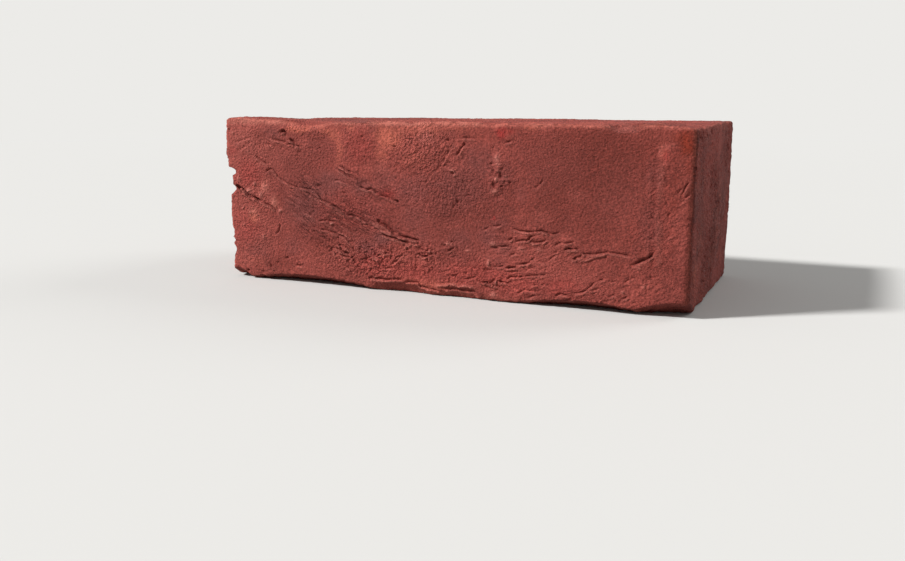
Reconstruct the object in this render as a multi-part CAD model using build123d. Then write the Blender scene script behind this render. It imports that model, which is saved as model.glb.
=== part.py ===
from build123d import *
import math
import os

# One hand-moulded clay brick: soft clay thrown into a sanded mould, struck off level
# on top, turned out, dried and fired. It is one solid piece and has no frog.
# X runs along the long faces, the shown face looks to -Y, and Z is up from the lower bed.
LENGTH = 232.0
WIDTH = 111.0
HEIGHT = 79.0

# The soft faces swelled out between their corners, and the mould opened towards its top.
STRETCHER_BOW = 0.5
HEADER_BOW = 0.4
MOULD_DRAFT_ANGLE = 0.2

# The shown face turns back a little before its right-hand end.
TURN_LENGTH = 9.0
TURN_DEPTH = 0.7
TURN_RADIUS = 30.0

# Upright corners, then the arrises round the struck upper bed and round the lower bed.
FRONT_LEFT_RADIUS = 2.2
FRONT_RIGHT_RADIUS = 2.6
BACK_LEFT_RADIUS = 5.0
BACK_RIGHT_RADIUS = 4.5
UPPER_ARRIS_RADIUS = 1.2
LOWER_ARRIS_RADIUS = 1.8

# The thumb scoop in the upper bed, open to the shown face.
SCOOP_FROM_RIGHT = 19.0
SCOOP_MOUTH = 20.0
SCOOP_FLOOR = 9.0
SCOOP_DEPTH = 2.6
SCOOP_RUN = 15.0
SCOOP_CORNER_RADIUS = 4.0

# Grooves in the shown face: the split that opens in the front left arris, and the folds
# where the clay was pressed together. Each is its start from the left end, its start
# height, its length, its fall in degrees, its sag, and its gape and depth where it is
# widest. A split is widest at this share of its length, and a fold at the other.
SPLIT = (5.5, 46.4, 27.5, 25.0, 1.3, 1.7, 4.0)
LONG_FOLD = (52.5, 46.0, 32.5, 25.0, 1.2, 1.0, 0.9)
BROAD_FOLD = (85.5, 34.2, 26.0, 20.0, 2.0, 1.8, 1.2)
END_FOLD = (206.5, 20.8, 12.5, -28.0, 0.3, 2.0, 1.4)
SPLIT_WIDEST = 0.0
FOLD_WIDEST = 0.5

# Breaks in the front left arris. Each is the height where it starts, its length, its
# reach along the shown face and its reach along the header.
BITE = (41.5, 14.5, 3.0, 6.5)
BITE_UPPER_LOBE = (50.8, 5.0, 5.6, 9.5)
BITE_LOWER_LOBE = (42.0, 6.0, 4.8, 8.5)
LOWER_NICK = (10.5, 7.5, 2.8, 6.0)
MIDDLE_NICK = (17.4, 3.0, 2.4, 5.2)
UPPER_NICK = (20.0, 6.5, 2.0, 4.6)

# Breaks in the upper front arris. Each is its start from the left end, its length, its
# reach down the shown face and its reach back across the bed.
LONG_BREAK = (34.0, 30.0, 4.6, 5.0)
DEEP_SPALL = (38.0, 17.0, 2.8, 7.5)
THIN_FLAKE = (136.0, 16.0, 1.9, 3.0)

# Places where clay did not fill the mould along the lower front arris. Each is its
# start from the left end, its length, its reach up the face and its reach under the bed.
LEFT_SHORT_FILL = (-5.0, 18.0, 5.0, 8.0)
NEAR_SHORT_FILL = (8.0, 78.0, 4.0, 9.5)
LONG_SHORT_FILL = (80.0, 40.0, 5.8, 3.6)
MIDDLE_SHORT_FILL = (115.0, 31.0, 5.4, 2.4)
FAR_SHORT_FILL = (156.0, 62.0, 4.0, 9.5)

# The lifted lower corner at the right-hand end of the shown face.
LIFTED_CORNER_LENGTH = 26.0
LIFTED_CORNER_RISE = 7.0
LIFTED_CORNER_UNDER = 13.0

# A cutter stands out of the clay by this much. A break or a groove is drawn with this
# many sections, and where it runs out it is this share of its deepest.
CUT_CLEARANCE = 2.0
CUT_SECTIONS = 6
RUN_OUT = 0.15

LEFT_END = -LENGTH / 2
RIGHT_END = LENGTH / 2
SHOWN_FACE = -WIDTH / 2
TURN_START = RIGHT_END - HEADER_BOW - TURN_LENGTH
TO_FRONT = Vector(0, -1, 0)
TO_LEFT = Vector(-1, 0, 0)
UP = Vector(0, 0, 1)


def mould_outline():
    """The outline of the struck bed: four bowed sides and the turned-back end."""
    left = LEFT_END + HEADER_BOW
    right = RIGHT_END - HEADER_BOW
    front = SHOWN_FACE + STRETCHER_BOW
    back = WIDTH / 2 - STRETCHER_BOW
    turn = (TURN_START, front)
    front_left = (left, front)
    front_right = (right, front + TURN_DEPTH)
    back_right = (right, back)
    back_left = (left, back)
    sides = [
        ThreePointArc(front_left, ((left + TURN_START) / 2, SHOWN_FACE), turn),
        Line(turn, front_right),
        ThreePointArc(front_right, (RIGHT_END, (front_right[1] + back) / 2), back_right),
        ThreePointArc(back_right, (0, WIDTH / 2), back_left),
        ThreePointArc(back_left, (LEFT_END, 0), front_left),
    ]
    outline = make_face(sides)
    corners = [
        (front_left, FRONT_LEFT_RADIUS),
        (turn, TURN_RADIUS),
        (front_right, FRONT_RIGHT_RADIUS),
        (back_right, BACK_RIGHT_RADIUS),
        (back_left, BACK_LEFT_RADIUS),
    ]
    for corner, radius in corners:
        vertex = outline.vertices().sort_by_distance(Vector(*corner, 0))[0]
        outline = fillet(vertex, radius)
    return outline


def moulded_block():
    """The block as it left the mould, with its arrises softened all round both beds."""
    upper_outline = Pos(0, 0, HEIGHT) * mould_outline()
    block = extrude(upper_outline, amount=-HEIGHT, taper=MOULD_DRAFT_ANGLE)
    upper_bed = block.faces().sort_by(Axis.Z)[-1]
    block = fillet(upper_bed.edges(), UPPER_ARRIS_RADIUS)
    lower_bed = block.faces().sort_by(Axis.Z)[0]
    return fillet(lower_bed.edges(), LOWER_ARRIS_RADIUS)


def draft_inset(height):
    """How far the draft has drawn the sides in at a height above the lower bed."""
    return (HEIGHT - height) * math.tan(math.radians(MOULD_DRAFT_ANGLE))


def face_point(from_left, height):
    """A point on the shown face, on its bow or on the stretch that turns back."""
    x = LEFT_END + from_left
    middle = (LEFT_END + HEADER_BOW + TURN_START) / 2
    inset = STRETCHER_BOW * ((x - middle) / (TURN_START - middle)) ** 2
    if x > TURN_START:
        inset = STRETCHER_BOW + TURN_DEPTH * (x - TURN_START) / TURN_LENGTH
    return Vector(x, SHOWN_FACE + inset + draft_inset(height), height)


def upper_front_arris(from_left):
    return face_point(from_left, HEIGHT)


def lower_front_arris(from_left):
    return face_point(from_left, 0)


def front_left_arris(height):
    return face_point(HEADER_BOW + draft_inset(height), height)


def broken_arris(arris_at, side_out, broken, *, face_out=TO_FRONT):
    """A break that deepens along an arris between two faces and runs out again.

    Each section is three-cornered: it crosses both faces at its reach from the arris.
    """
    start, length, face_reach, side_reach = broken
    slope = face_reach / side_reach
    sections = []
    for index in range(CUT_SECTIONS + 1):
        share = index / CUT_SECTIONS
        depth = RUN_OUT + (1 - RUN_OUT) * math.sin(math.pi * share)
        arris = arris_at(start + length * share)
        on_face = face_reach * depth + CUT_CLEARANCE * slope
        on_side = side_reach * depth + CUT_CLEARANCE / slope
        outer = arris + (face_out + side_out) * CUT_CLEARANCE
        face_corner = arris + face_out * CUT_CLEARANCE - side_out * on_face
        side_corner = arris + side_out * CUT_CLEARANCE - face_out * on_side
        sections.append(make_face(Polyline(outer, face_corner, side_corner, close=True)))
    return loft(sections, ruled=True)


def thumb_scoop():
    """A shallow trough in the upper bed that climbs out of it towards the back."""
    middle = RIGHT_END - SCOOP_FROM_RIGHT - SCOOP_MOUTH / 2
    overrun = CUT_CLEARANCE / SCOOP_DEPTH
    half_floor = SCOOP_FLOOR / 2
    half_top = SCOOP_MOUTH / 2 + (SCOOP_MOUTH - SCOOP_FLOOR) / 2 * overrun
    front = SHOWN_FACE - SCOOP_RUN * overrun
    floor = HEIGHT - SCOOP_DEPTH * (1 + overrun)
    top = HEIGHT + CUT_CLEARANCE
    low_left = Vector(middle - half_floor, front, floor)
    low_right = Vector(middle + half_floor, front, floor)
    top_right = Vector(middle + half_top, front, top)
    top_left = Vector(middle - half_top, front, top)
    profile = make_face(Polyline(low_left, low_right, top_right, top_left, close=True))
    for corner in (low_left, low_right):
        vertex = profile.vertices().sort_by_distance(corner)[0]
        profile = fillet(vertex, SCOOP_CORNER_RADIUS)
    climb = Vector(0, SCOOP_RUN, SCOOP_DEPTH)
    return extrude(profile, amount=climb.length * (1 + 2 * overrun), dir=climb)


def face_groove(groove, widest):
    """A wedge cut into the shown face that falls, sags and runs out away from its widest place."""
    from_left, start_height, length, fall_angle, sag, full_gape, full_depth = groove
    fall = math.radians(fall_angle)
    across = Vector(math.sin(fall), 0, math.cos(fall))
    sections = []
    for index in range(CUT_SECTIONS + 1):
        share = index / CUT_SECTIONS
        openness = RUN_OUT + (1 - RUN_OUT) * (1 - abs(share - widest) / max(widest, 1 - widest))
        gape = full_gape * openness
        depth = full_depth * openness
        run = length * share
        mouth = face_point(from_left + math.cos(fall) * run, start_height - math.sin(fall) * run)
        mouth -= across * sag * math.sin(math.pi * share)
        spread = gape / 2 * (depth + CUT_CLEARANCE) / depth
        lips = mouth + TO_FRONT * CUT_CLEARANCE
        keel = mouth - TO_FRONT * depth
        sections.append(make_face(Polyline(lips + across * spread, lips - across * spread, keel, close=True)))
    return loft(sections, ruled=True)


def brick():
    """The block less its scoop, its split and folds, and every break along its front arrises."""
    cuts = [thumb_scoop(), face_groove(SPLIT, SPLIT_WIDEST)]
    for fold in (LONG_FOLD, BROAD_FOLD, END_FOLD):
        cuts.append(face_groove(fold, FOLD_WIDEST))
    for broken in (BITE, BITE_UPPER_LOBE, BITE_LOWER_LOBE, LOWER_NICK, MIDDLE_NICK, UPPER_NICK):
        cuts.append(broken_arris(front_left_arris, TO_LEFT, broken))
    for broken in (LONG_BREAK, DEEP_SPALL, THIN_FLAKE):
        cuts.append(broken_arris(upper_front_arris, UP, broken))
    short_fills = [LEFT_SHORT_FILL, NEAR_SHORT_FILL, LONG_SHORT_FILL, MIDDLE_SHORT_FILL, FAR_SHORT_FILL]
    lifted_start = LENGTH - LIFTED_CORNER_LENGTH
    short_fills.append((lifted_start, 2 * LIFTED_CORNER_LENGTH, LIFTED_CORNER_RISE, LIFTED_CORNER_UNDER))
    for broken in short_fills:
        cuts.append(broken_arris(lower_front_arris, -UP, broken))
    return moulded_block() - cuts


os.makedirs("parts", exist_ok=True)
export_step(brick(), "parts/brick.step")
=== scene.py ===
import math

import bpy
import numpy as np
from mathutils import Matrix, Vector


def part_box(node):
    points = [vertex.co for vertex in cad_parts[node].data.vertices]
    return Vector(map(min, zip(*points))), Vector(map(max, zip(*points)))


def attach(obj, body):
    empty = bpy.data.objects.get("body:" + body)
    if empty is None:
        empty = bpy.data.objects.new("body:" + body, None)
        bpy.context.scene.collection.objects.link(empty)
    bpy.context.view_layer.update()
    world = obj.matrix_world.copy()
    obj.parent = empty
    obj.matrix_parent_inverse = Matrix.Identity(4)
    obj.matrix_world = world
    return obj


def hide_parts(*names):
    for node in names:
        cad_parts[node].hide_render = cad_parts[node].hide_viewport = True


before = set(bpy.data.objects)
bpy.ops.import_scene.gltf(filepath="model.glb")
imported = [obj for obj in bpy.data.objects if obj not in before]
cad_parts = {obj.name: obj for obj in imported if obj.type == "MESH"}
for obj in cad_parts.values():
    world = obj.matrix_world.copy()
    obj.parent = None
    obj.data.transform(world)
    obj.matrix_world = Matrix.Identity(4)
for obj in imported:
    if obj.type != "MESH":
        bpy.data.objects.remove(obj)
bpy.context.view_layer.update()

# The clay brick.
# One piece of soft red clay, thrown into a sanded mould, struck off on top, turned out and
# fired. Its folds run down from both ends, where the clay slid along the mould as it filled.
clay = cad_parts["brick"]
clay_low, clay_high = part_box("brick")
MM = 1000.0
LENGTH = (clay_high.x - clay_low.x) * MM
WIDTH = (clay_high.y - clay_low.y) * MM
HEIGHT = (clay_high.z - clay_low.z) * MM
SKIN_STEP = 0.0005
FINE_SKIN_DEPTH = 4.0
MARKS_DEPTH = 3.0
WIDE_PATCH = 6.0
MASK_LIMIT = 1.5
BRICK_TRIANGLES = 196000

# The marks of the shown face are set out in mm from the left arris, where the bowed end
# meets the face, and from the rim of the lower bed.
MARKS_FROM_LEFT = 2.0
MARKS_FROM_BED = 1.0


def applied_mesh(piece):
    """The piece's mesh with its modifiers applied."""
    depsgraph = bpy.context.evaluated_depsgraph_get()
    mesh = bpy.data.meshes.new_from_object(piece.evaluated_get(depsgraph))
    piece.modifiers.clear()
    piece.data = mesh
    return mesh


def read_vectors(mesh, name):
    """The coordinates or normals of a mesh's vertices, one row each."""
    values = np.zeros(len(mesh.vertices) * 3, np.float32)
    mesh.vertices.foreach_get(name, values)
    return values.reshape(-1, 3).astype(float)


def add_mask(mesh, name, values):
    """A mask of the mesh's own, a strength from 0 to the limit at each vertex."""
    layer = mesh.attributes.new(name, "FLOAT", "POINT")
    layer.data.foreach_set("value", np.clip(values, 0, MASK_LIMIT).astype(np.float32))


def swell(points, size, seed):
    """Smooth random rises and hollows from about -1 to 1, about size apart on each axis."""
    draw = np.random.default_rng(seed)
    order = draw.permutation(256)
    slopes = draw.normal(size=(256, 3))
    slopes /= np.linalg.norm(slopes, axis=1, keepdims=True)
    scaled = points / np.asarray(size, float)
    cell = np.floor(scaled).astype(int)
    inside = scaled - cell
    ease = inside**3 * (inside * (inside * 6 - 15) + 10)
    total = np.zeros(len(points))
    for corner in np.ndindex(2, 2, 2):
        at = (cell + corner) & 255
        pick = order[(order[(order[at[:, 0]] + at[:, 1]) & 255] + at[:, 2]) & 255]
        slope = slopes[pick]
        offset = inside - corner
        dot = slope[:, 0] * offset[:, 0] + slope[:, 1] * offset[:, 1] + slope[:, 2] * offset[:, 2]
        weight = np.ones(len(points))
        for axis in range(3):
            weight *= ease[:, axis] if corner[axis] else 1 - ease[:, axis]
        total += weight * dot
    return total * 1.7


def fade(values, low, high):
    """0 at low, 1 at high, with an eased slope between."""
    share = np.clip((values - low) / (high - low), 0, 1)
    return share * share * (3 - 2 * share)


def patches(across, up, places, wander=0.0, drift=0.0):
    """The strength of the strongest patch at each place of the shown face.

    An edge strays by the wander and the drift, and by less round a small patch.
    """
    total = np.zeros(len(across))
    for place, level, reach_across, reach_up, strength in places:
        stray = min(1.0, math.sqrt(reach_across * reach_up) / WIDE_PATCH)
        spread = ((across + stray * wander - place) / reach_across) ** 2
        spread += ((up + stray * drift - level) / reach_up) ** 2
        total = np.maximum(total, strength * np.exp(-1.2 * spread**1.5))
    return total


# The creases of the shown face. Each is its depth, its half width and the points that it
# runs through. A depth below 0 is a ridge. They are drawn at this share of their width.
# Beside each the clay stands up in a rim below it and a low shoulder above it. The groove is darkened as
# painted shade and the rim or ridge lightened as a painted highlight, by these shares.
CREASE_WIDTH = 0.98
RIM_RISE = 0.55
SHOULDER_RISE = 0.15
GROOVE_PAINTED_SHADE = 0.85
RIM_PAINTED_HIGHLIGHT = 0.32
RIDGE_PAINTED_HIGHLIGHT = 0.7
CREASES = (
    # the split and the lumps beside it
    (1.3, 0.62, ((5, 45.5), (8, 43.8), (10, 42), (11.5, 41), (13, 40.5), (15, 40.2), (18, 38.9))),
    (1.1, 0.44, ((5, 45.5), (8, 43.8), (10, 42), (11.5, 41), (13, 40.5), (15, 40.2), (20, 38),
                 (25, 36.2), (28, 34.4))),
    (0.6, 0.4, ((29, 33.8), (30.3, 32.8), (30.8, 31.4))),
    (0.5, 0.35, ((7, 40.5), (9, 40), (11, 40))),
    (0.7, 0.38, ((15.8, 61.3), (18.5, 59.8), (20.5, 58.4), (22, 57.8), (23.8, 57))),
    (0.6, 0.36, ((21.8, 53.2), (24, 54.6), (26, 54.8), (27.5, 53.8), (28.7, 52.1), (31.5, 49.8),
                 (37, 47.4), (41, 46.2))),
    (0.6, 0.4, ((29.4, 28.5), (29.5, 27), (29.1, 25), (28.2, 23.5), (26.6, 22.6))),
    (0.4, 0.4, ((1.5, 17.8), (3, 17.6), (5.2, 17.2))),
    # the long folds that run down from the split to the middle
    (0.55, 0.38, ((42, 46.7), (45, 46), (48, 45.8), (50, 45.2), (52.5, 44.2))),
    (0.5, 0.38, ((45, 44.2), (49.5, 42.5), (52, 41.3), (54.5, 40.5))),
    (0.75, 0.38, ((51, 44.4), (53.5, 42.3), (55, 40.7), (58, 39.7), (60, 38.7), (62.5, 37.7),
                  (64.5, 36.8), (67.5, 35.4))),
    (0.7, 0.36, ((60, 38.8), (63, 36.5), (66, 35.3), (68.5, 34.5), (71, 34.2), (74, 33.9), (76, 33),
                 (78.5, 31.8), (81, 30.7))),
    (-0.4, 0.4, ((55.5, 39.3), (58, 38.2), (60.5, 37.1))),
    (-0.5, 0.4, ((61.5, 37.4), (63.5, 36.3), (66, 35), (68, 33.9), (69.5, 33.2))),
    (-0.35, 0.35, ((60, 35.9), (63, 34.7), (65.5, 33.4))),
    (-0.3, 0.35, ((55, 29.4), (58, 28.3), (61, 27.3))),
    (-0.4, 0.4, ((62, 25.5), (65, 25.1), (67, 24.4), (70, 22.4))),
    (-0.5, 0.6, ((80, 32), (82.5, 31), (85, 29.5), (87, 27.6), (88.5, 27), (90.5, 26.6), (93, 25.8),
                 (94.5, 25))),
    (0.9, 0.95, ((84.3, 33.2), (87, 31.3), (89.5, 30.2), (91.5, 29), (93, 27.6), (94.3, 26.2))),
    (1.1, 0.46, ((95.3, 26.1), (98.5, 25.6), (101, 25.6), (103, 25), (107, 24.5))),
    (0.95, 0.4, ((87, 26.4), (90, 25.5), (92.5, 25), (95, 24.6), (97.5, 23.6), (101, 23.2))),
    (-0.4, 0.4, ((95.5, 25), (98, 24.7), (100.5, 24.4))),
    (0.9, 0.38, ((64.5, 57.5), (67, 56.6), (69, 55.5), (72, 54.4))),
    (0.8, 0.38, ((63.8, 56.2), (67, 54.2), (69.5, 53), (72, 51.5))),
    (0.5, 0.35, ((61.5, 50.9), (65, 50.5), (68, 49.5), (70.8, 48.8))),
    (0.9, 0.4, ((75.2, 48.2), (78, 47.4), (80, 46.9), (82, 47.2), (83.5, 46.7), (84.5, 45.6),
                (86.5, 44.6))),
    (0.55, 0.38, ((85.5, 45), (87.5, 44.3), (91, 43.6), (94, 42.4), (96.5, 41.8))),
    (0.35, 0.4, ((99, 40), (104, 37.5))),
    (0.5, 0.36, ((44, 34.4), (48, 33), (50, 31.8), (51.5, 30.4))),
    (0.6, 0.36, ((52, 30.5), (55, 30.9), (57.8, 31.3))),
    (0.5, 0.36, ((52, 26.6), (57, 26.2), (60, 25.6), (63, 25.2))),
    (0.6, 0.36, ((59.5, 25.1), (63, 24.5), (66, 23.8), (68, 22.5), (71, 20.5))),
    (0.4, 0.36, ((33, 41.5), (38, 39), (43, 36.8))),
    (0.4, 0.36, ((37, 35), (42, 32), (46, 30))),
    (0.4, 0.36, ((56, 35.4), (61, 33), (66, 31.4), (70, 30.6))),
    (0.4, 0.36, ((64, 29.6), (69, 27.4), (73, 25.2))),
    # the torn skin near the upper arris
    (1.3, 0.65, ((31.4, 72.3), (33, 73.5), (33.9, 73.4), (34.6, 72.8), (35.8, 71.2))),
    (1.3, 0.62, ((36.5, 70), (38.5, 68.9), (40.6, 67.8))),
    (0.9, 0.42, ((35, 66.8), (37.8, 67.3))),
    (0.8, 0.42, ((39.6, 66.8), (43.6, 66))),
    (0.6, 0.36, ((24.8, 70.2), (28, 69.2), (30.5, 68.8), (33, 68.4), (35, 67.9))),
    (0.45, 0.36, ((23, 67.3), (26, 66.5), (29, 65.6))),
    (0.28, 0.4, ((4.5, 67.4), (8, 68.5), (11, 69.5), (15.8, 70.5))),
    (0.32, 0.4, ((4.5, 63.2), (8, 64.5), (11, 65.8), (13, 67.2), (16, 68.5))),
    (0.3, 0.36, ((99.4, 72), (105, 72))),
    (0.3, 0.36, ((99.6, 70.7), (105.4, 70.6))),
    (0.25, 0.4, ((110.8, 73.5), (110.4, 69), (110, 65))),
    (0.25, 0.36, ((92.7, 53), (95, 55.5), (96.5, 57.9))),
    (0.5, 0.36, ((127.6, 71.8), (131, 71.5), (135.4, 71.4))),
    (0.6, 0.4, ((130, 69.5), (128.6, 67.6), (127, 65.3), (125.3, 63.1))),
    (0.35, 0.36, ((124.2, 69.9), (122.5, 66.3), (120.8, 62.6))),
    (0.35, 0.36, ((118.8, 60.4), (120.5, 63.3), (122.2, 66.4))),
    (0.6, 0.38, ((148.7, 69.7), (150.5, 70.2), (152.6, 70.9))),
    (0.5, 0.4, ((116, 51), (119.5, 52.1))),
    (0.35, 0.4, ((169, 69.1), (171.3, 67.6))),
    # the crumple along the lower half
    (0.8, 0.38, ((62.2, 19.8), (65.3, 19.1))),
    (0.8, 0.38, ((66.2, 19.1), (68, 18.3), (70.4, 16.8))),
    (0.9, 0.4, ((61.2, 18.4), (64, 17), (66, 16), (69.4, 15.4))),
    (0.6, 0.4, ((59.3, 17.2), (61, 15.5), (62.5, 14))),
    (0.7, 0.38, ((63.6, 14.8), (67, 14), (70.3, 13.7), (71.7, 14.7))),
    (0.5, 0.38, ((64.8, 10), (67.5, 9), (69.7, 7.8))),
    (0.9, 0.48, ((106.2, 18.9), (107.2, 17.8), (108.7, 17.2), (110.2, 17.3), (112, 18), (113.9, 19.2))),
    (0.5, 0.36, ((108.2, 20.5), (110.3, 19.9))),
    (0.5, 0.36, ((112, 20.5), (115, 20.2))),
    (-0.5, 0.45, ((98.5, 19.9), (101, 21.3), (103, 22.2), (105, 22.1), (107.6, 21.3))),
    (0.9, 0.5, ((86.5, 20.7), (87.8, 19.4), (89.7, 18.7))),
    (0.7, 0.36, ((93.6, 14.8), (96.8, 16.8))),
    (0.7, 0.36, ((95, 14.3), (97, 16.2), (99.1, 18.1))),
    (0.6, 0.36, ((92.6, 13.3), (95.3, 14.1))),
    (0.6, 0.36, ((86.6, 9.7), (89.5, 10.1), (92.4, 10.8))),
    (0.5, 0.36, ((85.6, 8.6), (90.4, 8.6))),
    (0.7, 0.36, ((75.1, 12.4), (78.4, 10.9))),
    (0.6, 0.36, ((79.2, 11.8), (82.5, 10.4))),
    (0.7, 0.36, ((83.7, 14.7), (86.3, 16.9))),
    (0.6, 0.4, ((120.4, 20), (122.2, 20.7), (124.8, 22.4))),
    (0.6, 0.4, ((122, 25.4), (125.2, 24.2))),
    (0.45, 0.38, ((128.6, 7.9), (132, 8.7), (135.5, 9.7))),
    (0.7, 0.45, ((37.6, 7.9), (40.3, 7.5), (42.8, 7.9))),
    (0.9, 0.6, ((79.5, 4.2), (81, 5), (85, 4.8), (90, 4.7), (95, 5.2), (98.3, 5.3))),
    (0.8, 0.5, ((98.7, 3.9), (101, 4.6), (106, 4.6), (107.3, 2.8), (112, 2.2), (118.3, 1.4))),
    (-0.5, 0.6, ((114.5, 3.6), (120, 4.2), (123, 5), (125, 5), (127, 4), (129, 5), (135.3, 4.3))),
    (0.7, 0.5, ((119, 2.4), (124, 3.1), (128, 2.8), (135, 2.6))),
    # the fish scales of the lower right
    (0.5, 0.36, ((139, 31.4), (141.6, 32.5))),
    (0.7, 0.38, ((142.9, 33.4), (145, 33.2), (147.6, 34.1))),
    (0.8, 0.38, ((149.9, 26.9), (151.6, 27.7), (153.2, 28.9))),
    (0.6, 0.38, ((145.6, 24.6), (148, 24.3), (150, 24.8), (152.1, 24.4))),
    (0.8, 0.38, ((151.4, 20.2), (153, 21.2), (154.6, 22.5))),
    (0.6, 0.36, ((143.1, 15), (145, 15.3), (147, 15.2), (149.1, 16))),
    (0.9, 0.38, ((149.3, 14.8), (152, 15.1), (155.3, 15.8))),
    (0.9, 0.38, ((154.8, 16.8), (156.4, 17.1), (158, 17.4), (159.5, 17.7), (161.4, 18.8))),
    (0.35, 0.36, ((160.8, 18.6), (162, 19.6), (164, 20.9))),
    (-0.3, 0.45, ((150, 13.9), (153, 14.2), (155.5, 14.8))),
    (0.6, 0.36, ((135.1, 8.1), (138, 7.4), (140, 7.3), (143, 6.9), (145, 6.4), (147.9, 5.8))),
    (0.7, 0.38, ((138.4, 8.2), (142, 7.3), (143.5, 8.1), (145.1, 9.7))),
    (0.8, 0.38, ((145.8, 8.7), (150, 8.2), (152, 7.9))),
    (0.8, 0.38, ((149.9, 9.5), (152, 11), (155, 11.2), (158.2, 11.6))),
    (0.75, 0.36, ((152.8, 32.6), (156, 32), (158, 31.7), (160.5, 31.8), (163.5, 32))),
    (0.85, 0.4, ((162.6, 32), (165, 32.3), (166.2, 32.7), (168, 32), (170, 31.4))),
    (0.6, 0.36, ((169.6, 31.5), (171, 31.2), (173, 31.9), (174.6, 32.7))),
    (0.85, 0.38, ((154.3, 27), (156, 27.6), (158, 27.8), (159.3, 27.9), (160.2, 28.5), (161.2, 29.6),
                  (162.6, 30.3))),
    (0.85, 0.38, ((160.1, 28.6), (161.6, 27.4), (163, 27.2), (165.5, 27.5), (167, 27.9), (168.5, 29.1))),
    (0.5, 0.36, ((171.7, 26), (173.2, 27.1), (175.6, 28.3))),
    (0.8, 0.38, ((175.2, 27.6), (178, 28), (180.7, 28.6))),
    (0.85, 0.38, ((176.2, 24.5), (178, 25.4), (180, 25.4), (183.6, 25.9))),
    (0.6, 0.36, ((171.2, 22.8), (174, 24.2))),
    (0.8, 0.38, ((179.6, 21.7), (181, 20.8), (181.6, 21.8), (183, 22), (184.8, 23))),
    (0.6, 0.36, ((183.6, 23.9), (186, 23.6), (189, 23.8), (192, 24.5), (195.3, 25.1), (200, 24.7),
                 (205.5, 24.1))),
    (-0.4, 0.5, ((183, 20.2), (186, 20.7), (188, 21.5), (190, 22.4), (193, 23.3), (195, 23.7))),
    (0.6, 0.36, ((164.4, 18.8), (168.8, 18.9))),
    (0.45, 0.36, ((169.5, 19.4), (171.5, 21.4), (173.4, 23.3))),
    (0.4, 0.36, ((158, 13.9), (160, 15), (161.5, 15.8), (163.7, 15.4))),
    (0.6, 0.36, ((158.6, 11.8), (163.3, 12.6), (165.5, 13), (168.7, 13.1))),
    (0.7, 0.36, ((161.1, 8), (164.7, 8.6))),
    (0.35, 0.36, ((165.6, 8.7), (170.4, 9))),
    (0.5, 0.4, ((155.1, 3.2), (157, 5), (158.5, 5.7), (161, 5.7), (165.4, 5.1))),
    (0.5, 0.4, ((159.1, 1.6), (162, 3), (164.7, 3.8))),
    (0.7, 0.4, ((172.6, 4.1), (175, 5.4), (177.5, 5.2), (179.7, 4.5))),
    (0.9, 0.46, ((175.9, 1.9), (178.5, 3), (181.1, 4))),
    (0.6, 0.36, ((180.6, 6.3), (183, 6.6), (185, 7), (186.5, 8), (188, 9.4), (190.6, 12))),
    (0.5, 0.36, ((191.3, 12.5), (195, 13.5))),
    (0.5, 0.36, ((196.3, 12.2), (199.6, 13))),
    (0.35, 0.36, ((187.6, 7.6), (191, 8.8), (193.4, 9.8))),
    (0.5, 0.45, ((196.1, 5), (197.5, 6.5), (199.5, 7.5))),
    (0.8, 0.4, ((201.6, 5.3), (204.9, 6.9))),
    (0.4, 0.36, ((202.7, 12.2), (205, 14.3), (207.7, 15.3))),
    (0.6, 0.75, ((205, 19.6), (207, 20.8), (208.5, 21.8), (210, 22.6), (212.2, 23.1))),
    (0.9, 0.45, ((211.6, 22.9), (213.3, 24.5), (215, 26.3))),
    # the smooth part and the column by the right-hand end
    (0.4, 0.36, ((162.4, 50.7), (164.5, 52.2), (167, 54.9))),
    (0.6, 0.38, ((224.6, 50.3), (226, 53.5), (227.4, 56))),
    (0.45, 0.36, ((222.5, 50), (224.9, 53.6))),
    (0.45, 0.36, ((225.5, 48.5), (227.9, 50.9))),
    (0.4, 0.4, ((223.6, 46.6), (225.4, 48.2))),
    (0.45, 0.4, ((219.5, 43.3), (220.3, 40.3))),
    (0.4, 0.45, ((218.4, 31.5), (221.5, 34.5))),
    (0.3, 0.45, ((212, 31), (214.8, 33.2), (216, 36))),
    (-0.16, 1.2, ((216.1, 62), (216.3, 54), (216.2, 46))),
    (-0.16, 1.2, ((216.3, 40), (216.6, 28), (216.7, 20))),
    (0.2, 1.1, ((213.6, 60), (213.8, 46), (213.7, 34), (214, 18))),
)
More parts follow.
